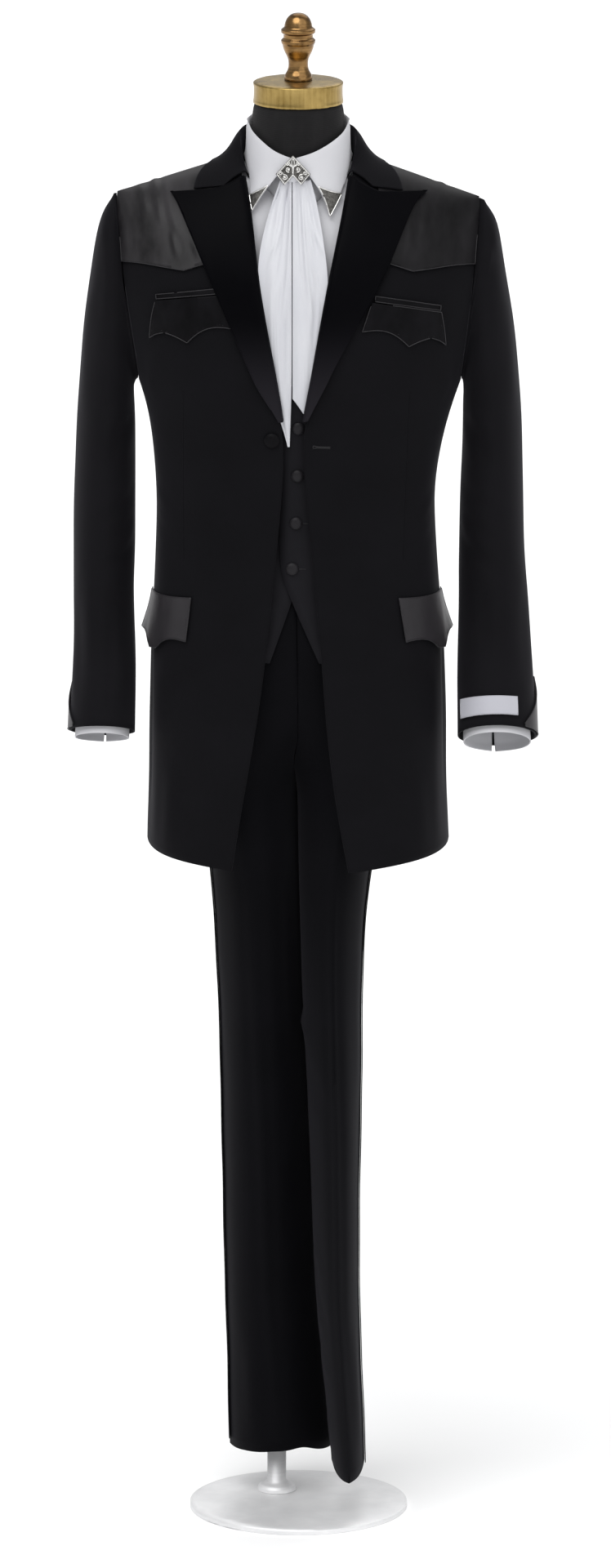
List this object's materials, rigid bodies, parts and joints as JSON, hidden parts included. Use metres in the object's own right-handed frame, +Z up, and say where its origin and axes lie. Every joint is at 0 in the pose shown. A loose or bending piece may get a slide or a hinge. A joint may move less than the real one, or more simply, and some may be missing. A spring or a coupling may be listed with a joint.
{
  "type": "western tuxedo on a limbless dress form",
  "caption": "Long western tuxedo coat worn open over a vest, white shirt, cravat and flared trousers, on a limbless dress form with a pole and round base.",
  "frame": {"origin": "middle of the round base's underside, on the floor", "axes": "+Z up, the garment faces -Y, and +X is the wearer's left"},
  "size_m": [0.5967, 0.2961, 1.9473],
  "materials": {
    "coat_wool": "matt black wool",
    "satin_trim": "black satin with a soft sheen",
    "lapel_satin": "black satin, darker than the wool",
    "vest_wool": "matt black wool",
    "shirt_cotton": "white cotton",
    "cravat_satin": "white satin with soft folds",
    "label_cloth": "pale woven label, blank",
    "silver": "engraved silver, darkened in the cuts",
    "trouser_wool": "matt black wool",
    "form_jersey": "matt black jersey",
    "cap_brass": "satin brass",
    "finial_brass": "antique brass, glossy",
    "stand_steel": "satin steel",
    "covered_buttons": "covered in black satin"
  },
  "bodies": {
    "root": {"coat_front_right": "coat_wool", "coat_back_right": "coat_wool", "sleeve_right": "coat_wool", "coat_front_left": "coat_wool", "coat_back_left": "coat_wool", "sleeve_left": "coat_wool", "coat_collar": "coat_wool", "yoke_right": "satin_trim", "chest_flap_right": "satin_trim", "chest_welt_right": "satin_trim", "hip_flap_right": "satin_trim", "cuff_inset_right": "satin_trim", "trouser_stripe_right": "satin_trim", "yoke_left": "satin_trim", "chest_flap_left": "satin_trim", "chest_welt_left": "satin_trim", "hip_flap_left": "satin_trim", "cuff_inset_left": "satin_trim", "trouser_stripe_left": "satin_trim", "lapel_right": "lapel_satin", "lapel_left": "lapel_satin", "vest_front_right": "vest_wool", "vest_front_left": "vest_wool", "vest_back": "vest_wool", "shirt_sleeve_right": "shirt_cotton", "shirt_cuff_right": "shirt_cotton", "shirt_sleeve_left": "shirt_cotton", "shirt_cuff_left": "shirt_cotton", "shirt_front": "shirt_cotton", "shirt_back": "shirt_cotton", "shirt_collar": "shirt_cotton", "cravat_tail_right": "cravat_satin", "cravat_tail_left": "cravat_satin", "sleeve_label": "label_cloth", "collar_tip_right": "silver", "collar_tip_left": "silver", "brooch": "silver", "trouser_front_right": "trouser_wool", "trouser_back_right": "trouser_wool", "trouser_front_left": "trouser_wool", "trouser_back_left": "trouser_wool", "waistband": "trouser_wool", "form": "form_jersey", "neck_cap": "cap_brass", "finial": "finial_brass", "pole": "stand_steel", "base": "stand_steel", "coat_button": "covered_buttons", "vest_button_1": "covered_buttons", "vest_button_2": "covered_buttons", "vest_button_3": "covered_buttons", "vest_button_4": "covered_buttons"}
  },
  "joints": []
}
